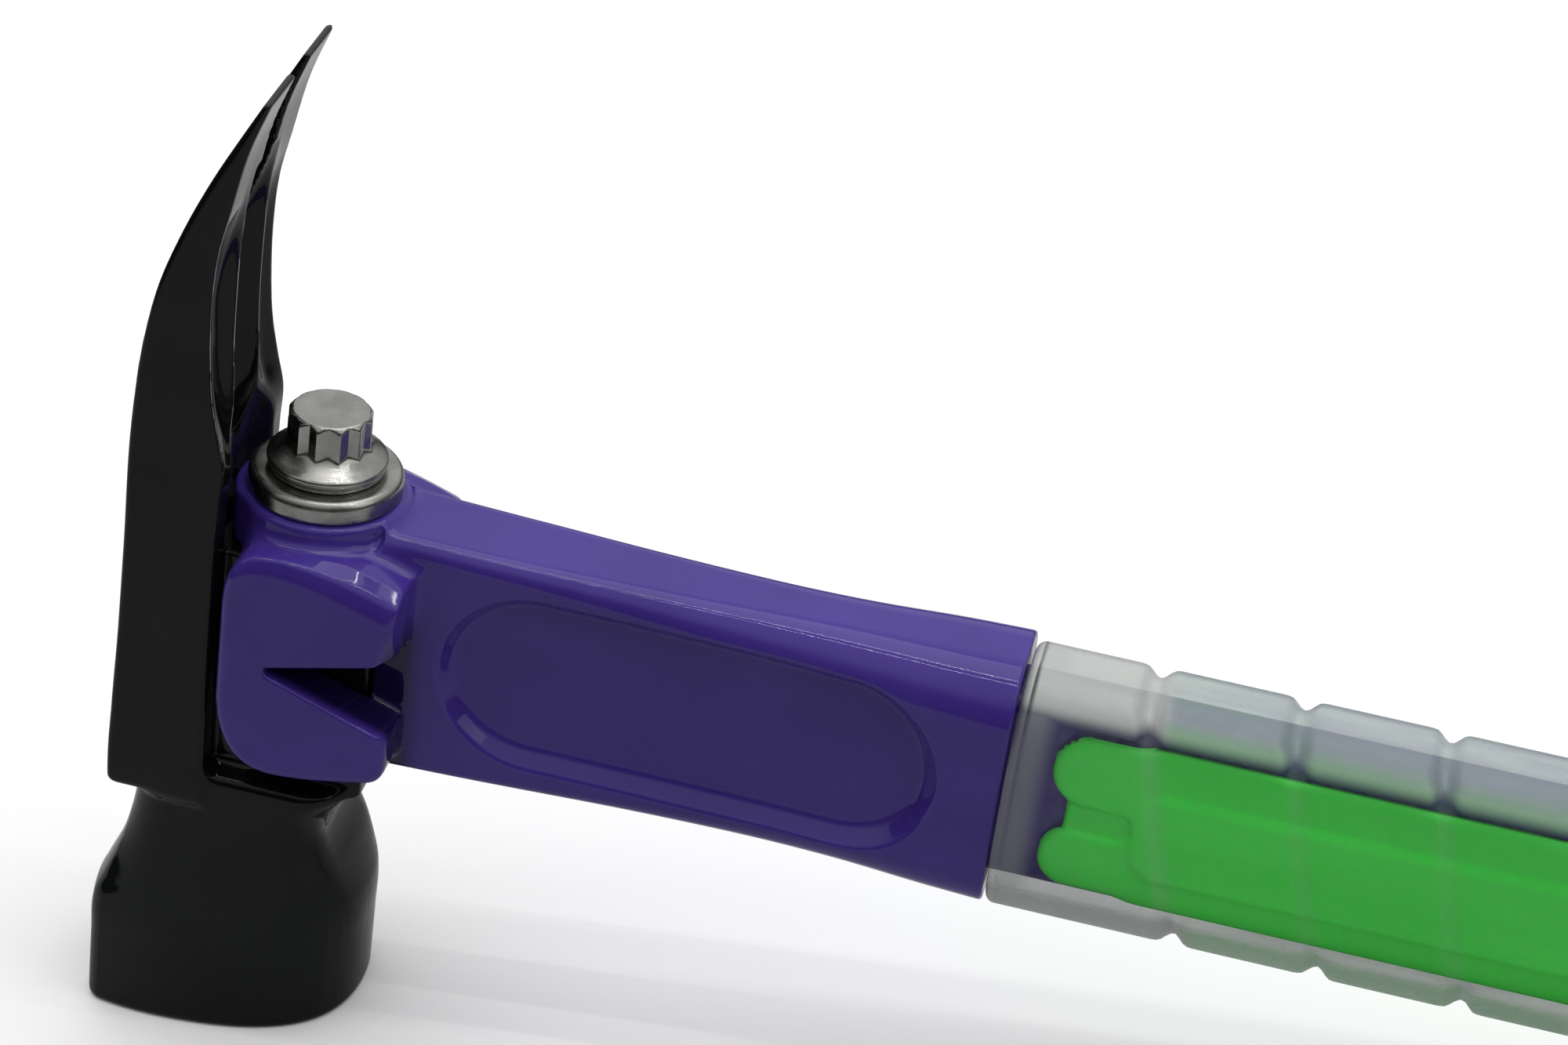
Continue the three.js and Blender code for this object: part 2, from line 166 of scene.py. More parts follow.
def add_lamp(name, spot, aim, size, watts):
    """A rectangular area lamp at spot, facing aim, in metres in the frame."""
    lamp = bpy.data.lights.new(name, "AREA")
    lamp.shape, lamp.size, lamp.size_y, lamp.energy = "RECTANGLE", size[0], size[1], watts
    item = bpy.data.objects.new(name, lamp)
    back = np.array(spot) - np.array(aim)
    back = back / np.linalg.norm(back)
    right = np.cross([0, 1, 0], back)
    right = right / np.linalg.norm(right)
    matrix = np.eye(4)
    matrix[:3, :3] = np.stack([right, np.cross(back, right), back], axis=1)
    matrix[:3, 3] = spot
    item.matrix_world = Matrix(matrix.tolist())
    bpy.context.collection.objects.link(item)


light_room()
shank_middle = (0.10, 0.0, 0.06)
TUBE_SIZE, TUBE_WATTS = (1.5, 0.005), 1.1
add_lamp("overhead", (0.15, 0.35, 1.30), shank_middle, (1.2, 0.9), 4.6)
add_lamp("side", (1.30, -0.30, 0.75), shank_middle, (0.8, 0.8), 1.8)
add_lamp("tube_near", (0.15, -0.16, 0.95), shank_middle, TUBE_SIZE, TUBE_WATTS)
add_lamp("tube_far", (0.15, -0.02, 0.98), shank_middle, TUBE_SIZE, TUBE_WATTS)

bpy.context.scene.view_settings.view_transform = "Standard"
floor_mesh = bpy.data.meshes.new("floor")
reach = FLOOR_SIZE / 2
floor_mesh.from_pydata([(-reach, -reach, 0), (reach, -reach, 0), (reach, reach, 0), (-reach, reach, 0)],
                       [], [(0, 1, 2, 3)])
floor = bpy.data.objects.new("floor", floor_mesh)
bpy.context.collection.objects.link(floor)

# %% [markdown]
# ## Tools for surfaces
#
# Turned and cast pieces are grids: a point for each pair of parameters. The head and the handle are
# forgings whose many faces melt into each other, and no single pair of parameters covers them. Each
# is instead written as a distance formula that is negative inside, zero on the surface and positive
# outside. Joining two formulas with a softened minimum makes a fillet, and meeting them with a
# softened maximum rounds an edge. The surface where the formula is zero is then found on a fine
# lattice, and each vertex is slid along the slope until it lies on it.

# %% Softened minimum and maximum, and smooth curves
def join(a, b, soft):
    """The smaller of a and b, less a quarter of soft where they are equal: a fillet of about soft."""
    return np.minimum(a, b) - np.maximum(soft - np.abs(a - b), 0) ** 2 / (4 * soft)


def meet(a, b, soft):
    """The larger of a and b, plus a quarter of soft where they are equal: an edge rounded by soft."""
    return np.maximum(a, b) + np.maximum(soft - np.abs(a - b), 0) ** 2 / (4 * soft)


def curve(*knots):
    """A smooth function through (t, value) knots: cubic pieces with each knot's mean slope."""
    at, value = np.array(knots, float).T
    slope = np.gradient(value, at)

    def through(t):
        t = np.clip(t, at[0], at[-1])
        i = np.clip(np.searchsorted(at, t, side="right") - 1, 0, len(at) - 2)
        span = at[i + 1] - at[i]
        u = (t - at[i]) / span
        return ((1 + 2 * u) * (1 - u) ** 2 * value[i] + u * (1 - u) ** 2 * span * slope[i]
                + u * u * (3 - 2 * u) * value[i + 1] - u * u * (1 - u) * span * slope[i + 1])
    return through


def smooth_step(t, start, end):
    """0 before start and 1 after end, with a level start and finish."""
    u = np.clip((t - start) / (end - start), 0, 1)
    return u * u * (3 - 2 * u)


def round_box(a, b, half_a, half_b, radius):
    """Distance to a rectangle of those half sizes with rounded corners, from its middle."""
    p, q = np.abs(a) - half_a + radius, np.abs(b) - half_b + radius
    return np.hypot(np.maximum(p, 0), np.maximum(q, 0)) + np.minimum(np.maximum(p, q), 0) - radius


def outline_distance(points):
    """Signed distance in a plane to a closed outline: the least distance to its edges, negative inside."""
    corners = np.array(points, float)

    def distance(x, z):
        nearest = np.full(np.broadcast(x, z).shape, np.inf)
        inside = np.zeros(nearest.shape, bool)
        for (ax, az), (bx, bz) in zip(corners, np.roll(corners, -1, axis=0)):
            ex, ez = bx - ax, bz - az
            t = np.clip(((x - ax) * ex + (z - az) * ez) / (ex * ex + ez * ez), 0, 1)
            nearest = np.minimum(nearest, (x - ax - t * ex) ** 2 + (z - az - t * ez) ** 2)
            if bz != az:
                inside ^= ((az > z) != (bz > z)) & (x < ax + (z - az) * ex / ez)
        return np.where(inside, -1, 1) * np.sqrt(nearest)
    return distance


# %% The surface where a formula is zero
AROUND = [(0, 0), (-1, 0), (-1, -1), (0, -1)]  # the four lattice cells round one lattice edge


def crossings(value, axis, cells):
    """Where lattice edges along axis cross zero: the points, the four cells round each, and its side."""
    low, high = [slice(None)] * 3, [slice(None)] * 3
    low[axis], high[axis] = slice(None, -1), slice(1, None)
    before, after = value[tuple(low)], value[tuple(high)]
    at = np.argwhere((before < 0) != (after < 0))
    a, b = before[tuple(at.T)], after[tuple(at.T)]
    point = at.astype(float)
    point[:, axis] += a / (a - b)
    ring = []
    for across, along in AROUND:
        cell = at.copy()
        cell[:, (axis + 1) % 3] += across
        cell[:, (axis + 2) % 3] += along
        ring.append(np.ravel_multi_index(tuple(cell.T), cells))
    return point, np.stack(ring, axis=1), a < 0


def slope_of(formula, points, probe=0.02):
    """The formula and its slope at points, by central differences."""
    value = formula(*points.T)
    steps = np.eye(3) * probe
    slope = [(formula(*(points + s).T) - formula(*(points - s).T)) / (2 * probe) for s in steps]
    return value, np.stack(slope, axis=1)


def level_surface(formula, low, high, step):
    """Vertices, quads and normals of the surface where formula is zero, inside the box low to high."""
    axes = [np.arange(a, b + step, step) for a, b in zip(low, high)]
    value = formula(*np.ix_(*axes)) + np.zeros([len(a) for a in axes])
    cells = tuple(n - 1 for n in value.shape)
    total, hits, faces = np.zeros((math.prod(cells), 3)), np.zeros(math.prod(cells)), []
    for axis in range(3):
        point, ring, leaving = crossings(value, axis, cells)
        for column in range(4):
            hits += np.bincount(ring[:, column], minlength=len(hits))
            for i in range(3):
                total[:, i] += np.bincount(ring[:, column], point[:, i], minlength=len(hits))
        faces.append(np.where(leaving[:, None], ring, ring[:, ::-1]))
    used, faces = np.unique(np.concatenate(faces), return_inverse=True)
    points = np.array(low) + step * total[used] / hits[used, None]
    for _ in range(5):
        error, slope = slope_of(formula, points)
        size = np.maximum((slope ** 2).sum(axis=1), 1e-6)
        points -= np.clip(error / size, -step / 2, step / 2)[:, None] * slope
    _, slope = slope_of(formula, points)
    return points, faces.reshape(-1, 4), slope / np.linalg.norm(slope, axis=1)[:, None]


# %% Meshes from arrays
def add_piece(name, points, faces, body, nodes=(), normals=None):
    """A smooth-shaded mesh object in the frame, riding on body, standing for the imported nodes."""
    mesh = bpy.data.meshes.new(name)
    mesh.from_pydata(placed(points).tolist(), [], faces.tolist() if hasattr(faces, "tolist") else faces)
    mesh.update()
    mesh.shade_smooth()
    if normals is not None:
        mesh.normals_split_custom_set_from_vertices((normals @ LEAN.T).tolist())
    item = bpy.data.objects.new(name, mesh)
    bpy.context.collection.objects.link(item)
    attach(item, body)
    if nodes:
        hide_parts(*nodes)
    triangles = sum(len(p.vertices) - 2 for p in mesh.polygons)
    print(f"{name}: {len(points)} points, {triangles} triangles")
    return item


def grid_faces(rows, columns):
    """Quads of a grid whose columns close on themselves, wound so that rows go along the outside."""
    r, c = np.meshgrid(np.arange(rows - 1), np.arange(columns), indexing="ij")
    right = (c + 1) % columns
    quads = np.stack([r * columns + c, r * columns + right, (r + 1) * columns + right,
                      (r + 1) * columns + c], axis=-1)
    return quads.reshape(-1, 4)


def capped(grid):
    """Points and faces of rings (rows, columns, 3), with a fan to the middle of each end ring."""
    rows, columns, _ = grid.shape
    points = np.concatenate([grid.reshape(-1, 3), grid[:1].mean(axis=1), grid[-1:].mean(axis=1)])
    first, last = rows * columns, rows * columns + 1
    c = np.arange(columns)
    near = np.stack([np.full(columns, first), (c + 1) % columns, c], axis=1)
    tail = (rows - 1) * columns
    far = np.stack([np.full(columns, last), tail + c, tail + (c + 1) % columns], axis=1)
    return points, grid_faces(rows, columns).tolist() + near.tolist() + far.tolist()

# %% [markdown]
# ## The head
#
# The head is one forging: a chisel-edged claw split by a nail slot, a square spine, a tongue that
# fills the handle's cradle, and a boxy neck that flares into the poll. Its faces are written one by
# one as distances and met with small rounds, because a forging has no truly sharp edge.

# %% Claw and spine
HALF_WIDTH = 12.0
claw_front = curve((-45, -22.2), (-38, -22.4), (-31, -22.2), (-19, -21.8), (-8, -21.6), (11, -21.3),
                   (22, -20.3), (30, -18.7), (36.5, -16.5), (45.3, -12.7), (50.6, -10.0), (56, -7.15))
claw_rear = curve((-45, -9.7), (1, -9.6), (6, -9.5), (10, -10.4), (15, -11.4), (22, -12.0), (29, -12.1),
                  (35, -11.7), (41, -10.5), (49.5, -8.6), (56, -6.3))
ridge_rear = curve((-45, -9.7), (4, -9.7), (10, -10.4), (20, -11.1), (30, -11.1), (36, -10.9),
                   (42, -10.2), (49.5, -8.6), (56, -6.3))
slot_half = curve((10, 1.95), (20, 2.1), (40, 2.4), (58, 2.75))
hollow_radius = curve((-12, 12.9), (2, 12.6), (12, 11.7), (22, 11.4), (30, 10.4), (36, 4.0))
valley_depth = curve((0, 2.2), (6, 3.6), (14, 4.6), (30, 3.6), (37, 1.7), (42, 0.5), (45, 0.2), (60, 0.2))
RIDGE_HALF, SCOOP_DEPTH, SLOT_ROOT, CLAW_TIP = 4.5, 1.25, 14.5, 55.75
VALLEY_BOTTOM, VALLEY_TOP, HOLLOW_BOTTOM = 1.0, 43.5, -12
LEDGE, TONGUE_HALF, TONGUE_TOP, TONGUE_BOTTOM = -43.1, 8.0, -7.3, -39.4


def rear_of_claw(y, z):
    """How far back the rear of a tine lies: its outer edge, the slot's ridge, and the scoop between."""
    out = np.abs(y)
    rise = 1 - smooth_step(out, RIDGE_HALF, RIDGE_HALF + 2.6)
    base = claw_rear(z) + rise * (ridge_rear(z) - claw_rear(z))
    across = np.clip((out - RIDGE_HALF) / (HALF_WIDTH - 0.7 - RIDGE_HALF), 0, 1)
    along = smooth_step(z, 3, 13) * (1 - smooth_step(z, 26, 41))
    return base - SCOOP_DEPTH * along * np.sin(np.pi * across) ** 1.2


def valley_floor(z):
    """How far back the floor of the vee between the ridges lies; it deepens down to the slot's root."""
    return ridge_rear(z) - valley_depth(z)


def claw_and_spine(x, y, z):
    """The front and rear faces, the sides, the ledge and the tip, met with small rounds, less the slot."""
    front = (claw_front(z) - x) * 0.94
    rear = (x - rear_of_claw(y, z)) * 0.96
    body = meet(front, rear, 0.35)
    body = meet(body, np.abs(y) - HALF_WIDTH, 0.9)
    body = meet(body, LEDGE - z, 1.6)
    body = meet(body, z - CLAW_TIP, 0.3)
    slot = meet(np.abs(y) - slot_half(z), SLOT_ROOT + 1.2 * np.abs(y) - z, 1.0)
    floor = valley_floor(z)
    flank = np.abs(y) - slot_half(z) - (RIDGE_HALF - slot_half(z)) / valley_depth(z) * (x - floor)
    valley = meet(meet(flank * 0.8, floor - x, 0.8), VALLEY_BOTTOM - z, 1.0)
    body = meet(body, -np.minimum(slot, meet(valley, z - VALLEY_TOP, 0.3)), 0.3)
    hollow = (np.hypot(x, y) - hollow_radius(z)) * 0.97
    return meet(body, -meet(hollow, HOLLOW_BOTTOM - z, 0.3), 0.5)


# %% Neck, poll and tongue
FACE_AT, FACE_SLOPE = (-7.7, -76.2), math.tan(lean)
neck_front = curve((-60, -20.9), (-50, -20.3), (-45, -19.8), (-38, -19.7))
neck_rear = curve((-60, 6.9), (-53, 6.3), (-49, 5.4), (-46, 5.1), (-43, 5.9), (-40.5, 7.6), (-38, 8.8))
poll_share = curve((-80, 0.97), (-74, 0.99), (-66, 1.0), (-60.6, 0.99), (-59.4, 0.94), (-57, 0.70),
                   (-54, 0.40), (-51, 0.14), (-48, 0.02), (-46, 0))
NECK_HALF, NECK_CORNER, NECK_TOP = 11.4, 5.6, -38.6
STARTER = {"top": -43.2, "inner": -18.6, "flare": 0.61, "seat": -49.0, "seat_radius": 3.15,
           "seat_back": -13.7}
BOLT_HOLE, BOLT_HOLE_END = 5.0, -31.5


def bend(start, handle, end, steps=7):
    """Points of a quadratic arc from start to end that leans on handle, without its first point."""
    t = np.linspace(0, 1, steps + 1)[1:, None]
    start, handle, end = map(np.array, (start, handle, end))
    return (start * (1 - t) ** 2 + 2 * handle * t * (1 - t) + end * t * t).tolist()


def mirrored(points):
    """The outline and its reflection in y = 0."""
    return points + [[x, -y] for x, y in points[::-1]]


poll_outline = outline_distance(mirrored(
    bend((-25.2, 0), (-25.1, 6), (-24.0, 9.9)) + bend((-24.0, 9.9), (-23.6, 11.2), (-22.3, 11.9), 6)
    + bend((-22.3, 11.9), (-16, 14.0), (-7.6, 14.0)) + bend((-7.6, 14.0), (2.5, 14.0), (7.0, 9.6), 14)
    + bend((7.0, 9.6), (10.3, 6.2), (10.3, 0.05), 12)))


def poll_and_neck(x, y, z):
    """A boxy neck whose walls run out to the poll's bowed outline, canted to the striking face."""
    height = z - FACE_SLOPE * (x - FACE_AT[0]) * (1 - smooth_step(z, -56, -46))
    front, rear = neck_front(height), neck_rear(height)
    neck = round_box(x - (rear + front) / 2, y, (rear - front) / 2, NECK_HALF, NECK_CORNER)
    share = poll_share(height)
    wall = (1 - share) * neck + share * poll_outline(x, y)
    face = FACE_AT[1] + FACE_SLOPE * (x - FACE_AT[0]) - z
    return meet(meet(wall * 0.96, face, 1.1), z - NECK_TOP, 1.8)


def nail_starter(x, y, z):
    """The vee down the poll's front and the round seat of its magnet."""
    deep = x - STARTER["inner"]
    vee = (np.abs(y) - 1.0 + STARTER["flare"] * deep) * 0.85
    vee = meet(meet(vee, deep, 0.5), z - STARTER["top"], 0.3)
    seat = meet(np.hypot(y, z - STARTER["seat"]) - STARTER["seat_radius"], x - STARTER["seat_back"], 0.1)
    return np.minimum(vee, seat)


def head_shape(x, y, z):
    """The whole forging."""
    tongue = meet(round_box(x + 1.2, y, 10.7, TONGUE_HALF, 0.8), z - TONGUE_TOP, 0.6)
    tongue = meet(tongue, TONGUE_BOTTOM - z, 0.2)
    shape = join(claw_and_spine(x, y, z), tongue, 0.6)
    shape = join(shape, poll_and_neck(x, y, z), 1.6)
    shape = meet(shape, -nail_starter(x, y, z), 0.4)
    return meet(shape, -meet(np.hypot(x, y) - BOLT_HOLE, BOLT_HOLE_END - z, 0.3), 0.4)


HEAD_STEP = 0.42
points, faces, normals = level_surface(head_shape, (-27, -16, -80.5), (12.2, 16, 58), HEAD_STEP)
head = add_piece("head_forging", points, faces, "head", ["hammer_head"], normals)

# %% [markdown]
# ## The handle
#
# The handle is one titanium piece. Two cheeks hold the head's tongue, and each has a vee cut through
# it that pulls nails with the hammer on its side. A round boss carries the bolt, the shank has a
# shallow oval pocket on each side, and a slim core runs on through the grip.

# %% Cradle
CHEEK_OUT, CHEEK_IN, CHANNEL_REAR, CHANNEL_ROOF = 15.0, 8.3, 9.8, -7.0
BOSS_RADIUS, NOSE_RADIUS = 10.3, 11.0
cheek_outline = outline_distance(
    [(14.0, 6.0), (14.0, -29.2)] + bend((14.0, -29.2), (13.9, -31.9), (11.8, -32.3))
    + bend((11.8, -32.3), (4.0, -34.3), (-0.8, -34.3)) + bend((-0.8, -34.3), (-7.4, -34.0), (-8.15, -24.5))
    + [(-8.1, -10.5)] + bend((-8.1, -10.5), (-8.0, -2.4), (-1.6, -2.4)) + [(-1.6, 6.0)])
cheek_inner_top = curve((-9, -4.0), (-1.7, -3.0), (2, -2.8), (6, -3.0), (9, -3.6), (12, -4.6), (16, -6.2))
cheek_outer_top = curve((-9, -3.4), (-1.6, -2.7), (2, -3.1), (6, -4.1), (10, -5.4), (13.5, -6.6),
                        (16, -7.6))


def side_puller(x, y, z):
    """A vee that opens towards the butt, cut through both cheeks but not into the shank."""
    upper = (z + 18.15 - 0.262 * (x + 1.4)) * 0.967
    lower = (-19.35 - 0.366 * (x + 1.4) - z) * 0.939
    vee = meet(upper, lower, 0.9)
    return meet(meet(vee, -1.9 - x, 0.3), 7.3 - np.abs(y), 1.2)


def channel(x, y, z):
    """The space between the cheeks, open below, that the head's tongue fills."""
    return meet(meet(np.abs(y) - CHEEK_IN, x - CHANNEL_REAR, 0.8), z - CHANNEL_ROOF, 0.5)


def cradle(x, y, z):
    """Cheeks under a twisted top and a steep band, with the boss and its nose, less the channel."""
    out = np.abs(y)
    cheek = meet(cheek_outline(x, z), out - CHEEK_OUT, 1.9)
    rear = (x - 14.0 - 0.45 * (CHEEK_OUT - out)) * 0.91
    cheek = meet(cheek, rear, 1.0)
    share = np.clip((out - 12.0) / 2.6, -0.1, 1.2)
    top = cheek_inner_top(x) + share * (cheek_outer_top(x) - cheek_inner_top(x))
    cheek = meet(cheek, (z - top) * 0.85, 0.45)
    band = (z - cheek_outer_top(x) + 2.3) * 0.33 + (out - CHEEK_OUT) * 0.944
    cheek = meet(cheek, band, 0.5)
    cheek = meet(cheek, -side_puller(x, y, z), 0.55)
    round_boss = np.hypot(x, y)
    boss = meet(round_boss - BOSS_RADIUS, z + 0.02, 1.0)
    boss = meet(boss, CHANNEL_ROOF - z, 0.1)
    nose = meet(round_boss - NOSE_RADIUS, np.abs(y) - 6.0, 1.4)
    nose = meet(meet(nose, x, 0.1), z + 0.02, 0.8)
    shape = join(cheek, join(boss, nose, 0.8), 2.0)
    return meet(shape, -channel(x, y, z), 0.5)


# %% Shank with its pockets
SHANK_START, SHANK_END, POCKET_DEPTH = 9.8, 88.5, 2.2
shank_half = curve((9, 6.9), (45, 6.9), (58, 7.3), (70, 8.2), (80, 9.2), (89, 9.75))
shank_top = curve((9, -0.9), (16, -1.15), (32, -1.5), (50, -1.65), (66, -1.45), (78, -1.1), (89, -0.85))
shank_bottom = curve((9, -34.8), (16, -34.7), (50, -34.1), (70, -34.4), (89, -35.1))
shank_round = curve((9, 2.0), (30, 2.6), (50, 4.0), (70, 6.0), (89, 7.2))
POCKET = {"start": 17.6, "end": 81.0, "top": -5.3, "bottom": -30.0}


def pocket(x, y, z):
    """An oval sunk into each side: its wall slopes in by 1.7 mm on the way to a flat floor."""
    radius = (POCKET["top"] - POCKET["bottom"]) / 2
    middle, run = (POCKET["top"] + POCKET["bottom"]) / 2, (POCKET["end"] - POCKET["start"]) / 2 - radius
    beyond = np.maximum(np.abs(x - (POCKET["start"] + POCKET["end"]) / 2) - run, 0)
    edge = np.hypot(beyond, z - middle) - radius
    half = shank_half(x)
    floor = 6.9 - POCKET_DEPTH + 0.72 * (half - 6.9)
    wall = (edge + 0.77 * (half - np.abs(y))) * 0.79
    return meet(wall, floor - np.abs(y), 0.7)


def shank(x, y, z):
    """A rounded bar whose half width, top, bottom and corner round change along it."""
    top, bottom = shank_top(x), shank_bottom(x)
    bar = round_box(y, z - (top + bottom) / 2, shank_half(x), (top - bottom) / 2, shank_round(x))
    return meet(bar, SHANK_START - x, 0.3)


def handle_shape(x, y, z):
    """Cradle and shank joined by wide fillets, less the pockets and the bolt's hole."""
    shape = join(cradle(x, y, z), shank(x, y, z), 2.2)
    shape = meet(shape, -pocket(x, y, z), 0.45)
    shape = meet(shape, -channel(x, y, z), 0.5)
    shape = meet(shape, x - SHANK_END, 0.5)
    return meet(shape, BOLT_HOLE - np.hypot(x, y), 0.3)


HANDLE_STEP = 0.4
points, faces, normals = level_surface(handle_shape, (-13, -17, -37), (90.1, 17, 2.4), HANDLE_STEP)
handle = add_piece("handle_casting", points, faces, "handle", ["handle_frame"],
                   normals)

# %% [markdown]
# ## The handle's core
#
# Inside the grip the handle carries on as a plain bar with rounded edges and one long window. It is
# seen only through the grip, so a bar carried along x is enough.

# %% Core
CORE = {"half": 5.0, "top": -5.2, "bottom": -31.0, "end": 326.0, "round": 2.0}
WINDOW = {"start": 116.0, "end": 300.0, "top": -12.5, "bottom": -25.5, "round": 5.0}


def core_shape(x, y, z):
    """The bar less its window."""
    middle = (CORE["top"] + CORE["bottom"]) / 2
    bar = round_box(y, z - middle, CORE["half"], (CORE["top"] - CORE["bottom"]) / 2, CORE["round"])
    bar = meet(meet(bar, x - CORE["end"], 1.0), SHANK_END - 1.0 - x, 0.3)
    window = round_box(x - (WINDOW["start"] + WINDOW["end"]) / 2, z - (WINDOW["top"] + WINDOW["bottom"]) / 2,
                       (WINDOW["end"] - WINDOW["start"]) / 2, (WINDOW["top"] - WINDOW["bottom"]) / 2,
                       WINDOW["round"])
    return meet(bar, -window, 0.5)


points, faces, normals = level_surface(core_shape, (86, -6.6, -32.6), (328, 6.6, -4.8), 0.8)
core = add_piece("handle_core", points, faces, "handle", ["handle_frame"], normals)

# %% [markdown]
# ## Bolt, washer and magnet
#
# Each is a profile carried round an axis. The bolt's head also changes with the angle: its outline is
# two hexagons a twelfth of a turn apart, and whichever lies further out wins, which gives the twelve
# lobes. Its shank carries a true helical thread, which shows once the bolt is lifted.

# %% Profiles carried round the bolt's axis
WASHER = {"radius": 9.525, "hole": 5.0, "thick": 3.05}
BOLT = {"flange": 7.45, "top": 11.0, "point": 5.35, "shank": 4.7, "end": -30.0, "pitch": 25.4 / 24,
        "thread_start": -7.5, "thread_depth": 0.55}
TURN_STEPS = 192


def rounded_profile(corners, steps=4):
    """(r, z) corners, each with a size, cut back along both sides and rounded with a quadratic arc."""
    points = []
    for before, here, after in zip(corners[-1:] + corners[:-1], corners, corners[1:] + corners[:1]):
        spot = np.array(here[:2], float)
        if here[2] == 0:
            points.append(spot.tolist())
            continue
        ends = []
        for other in (before, after):
            toward = np.array(other[:2], float) - spot
            length = np.linalg.norm(toward)
            ends.append(spot + toward / length * min(here[2], length * 0.49))
        points.append(ends[0].tolist())
        points += bend(ends[0], spot, ends[1], steps)
    return np.array(points)


def carried_round(radius, height, angle):
    """Points at (radius, angle) about the bolt's axis, at that height."""
    return np.stack([radius * np.cos(angle), radius * np.sin(angle), height + 0 * angle + 0 * radius],
                    axis=-1)


def ring_piece(profile, columns):
    """Points and faces of a closed (r, z) profile carried round: a ring with a hole."""
    angle = np.linspace(0, 2 * np.pi, columns, endpoint=False)[None, :]
    loop = np.concatenate([profile, profile[:1]])
    grid = carried_round(loop[:, :1], loop[:, 1:], angle)[:-1]
    rows = len(grid)
    faces = grid_faces(rows + 1, columns) % (rows * columns)
    return grid.reshape(-1, 3), faces


washer_profile = rounded_profile([(WASHER["hole"], 0.02, 0.15), (9.3, 0.02, 0.3),
                                  (WASHER["radius"], 0.35, 0.25), (WASHER["radius"], 2.35, 0.45),
                                  (8.95, WASHER["thick"], 0.4), (5.5, WASHER["thick"], 0.35),
                                  (WASHER["hole"], 2.6, 0.25)])
points, faces = ring_piece(washer_profile, TURN_STEPS)
washer = add_piece("washer_ring", points, faces, "washer", ["bolt_washer"])


# %% The bolt
def double_hexagon(angle):
    """Distance from the axis to the outer of two hexagons, a twelfth of a turn apart."""
    apothem = BOLT["point"] * math.cos(math.pi / 6)
    fold = math.pi / 3
    first = np.abs((angle + fold / 2) % fold - fold / 2)
    second = np.abs(angle % fold - fold / 2)
    return apothem / np.cos(np.minimum(np.maximum(first, second), math.pi / 6))


def bolt_radius(height, angle):
    """The head's lobes under a bevelled crown, run into the flange's cone, above a helical thread."""
    lobes = -meet(-double_hexagon(angle), -(BOLT["point"] + 0.02), 0.12) - 0.03
    crown = curve((9.6, 6.2), (10.2, 5.45), (10.7, 5.0), (10.95, 4.72), (11.0, 4.6))(height)
    head = join(lobes, crown, 0.25)
    cone = curve((4.6, 7.35), (4.95, 7.1), (5.2, 6.75), (5.7, 6.0), (6.3, 5.25), (7.0, 4.7),
                 (8.0, 4.2))(height)
    return np.where(height > 4.75, meet(head, cone, 0.3), cone)


def threaded(height, angle):
    """The shank's radius: plain, then a vee thread that climbs one pitch a turn, then a chamfer."""
    turn = (height / BOLT["pitch"] - angle / (2 * np.pi)) % 1
    depth = BOLT["thread_depth"] * (1 - np.abs(2 * turn - 1))
    depth = depth * smooth_step(-height, -BOLT["thread_start"], 9.5)
    return np.minimum(BOLT["shank"] - depth, BOLT["shank"] - 0.9 + (height - BOLT["end"]) * 0.9)


def bolt_rings():
    """Rings from the crown's middle down over the head, flange and thread to the tip."""
    angle = np.linspace(0, 2 * np.pi, TURN_STEPS, endpoint=False)[None, :]
    top = [carried_round(r, np.array([[BOLT["top"] - dip]]), angle)
           for r, dip in ((0.6, 0.14), (2.0, 0.12), (3.2, 0.06), (3.9, 0.0), (4.35, 0.0))]
    head = [carried_round(bolt_radius(np.array([[h]]), angle), np.array([[h]]), angle)
            for h in np.concatenate([np.linspace(BOLT["top"], 10.0, 12), np.linspace(9.7, 7.2, 9),
                                     np.linspace(7.0, 4.95, 18)])]
    rim = [carried_round(r, np.array([[h]]), angle)
           for r, h in ((7.3, 4.82), (7.43, 4.65), (BOLT["flange"], 4.4), (7.42, 4.15), (7.25, 4.0),
                        (7.1, 3.92), (7.12, 3.8), (7.2, 3.65), (7.18, 3.3), (7.0, 3.1), (6.6, 3.07),
                        (4.75, 3.07))]
    thread = [carried_round(threaded(np.array([[h]]), angle), np.array([[h]]), angle)
              for h in np.arange(3.0, BOLT["end"] - 1e-9, -BOLT["pitch"] / 8)]
    return np.concatenate(top + head + rim + thread)


points, faces = capped(bolt_rings()[::-1])
bolt = add_piece("twelve_point_bolt", points, faces, "bolt", ["head_bolt"])

# %% The magnet
MAGNET = {"radius": 3.0, "face": -18.9, "back": -14.0, "height": -49.0}
angle = np.linspace(0, 2 * np.pi, 64, endpoint=False)[None, :]
magnet_profile = [(0.8, MAGNET["back"]), (2.7, MAGNET["back"]), (MAGNET["radius"], MAGNET["back"] - 0.3),
                  (MAGNET["radius"], MAGNET["face"] + 0.35), (2.92, MAGNET["face"] + 0.1),
                  (2.65, MAGNET["face"]), (0.8, MAGNET["face"])]
rings = [carried_round(np.array([[r]]), np.array([[0.0]]), angle) + [0, 0, x] for r, x in magnet_profile]
turned = np.concatenate(rings)[..., [2, 1, 0]] + [0, 0, MAGNET["height"]]
points, faces = capped(turned)
magnet = add_piece("magnet_disc", points, faces, "head", ["nail_magnet"])

# %% [markdown]
# ## Grip
#
# The grip is cast: a rounded bar whose section is a superellipse, pinched by grooves that lean back
# towards the butt, and swelling below at the end so that a hand can't slide off. The whole skin is
# one function of the distance along the handle and the angle round it.

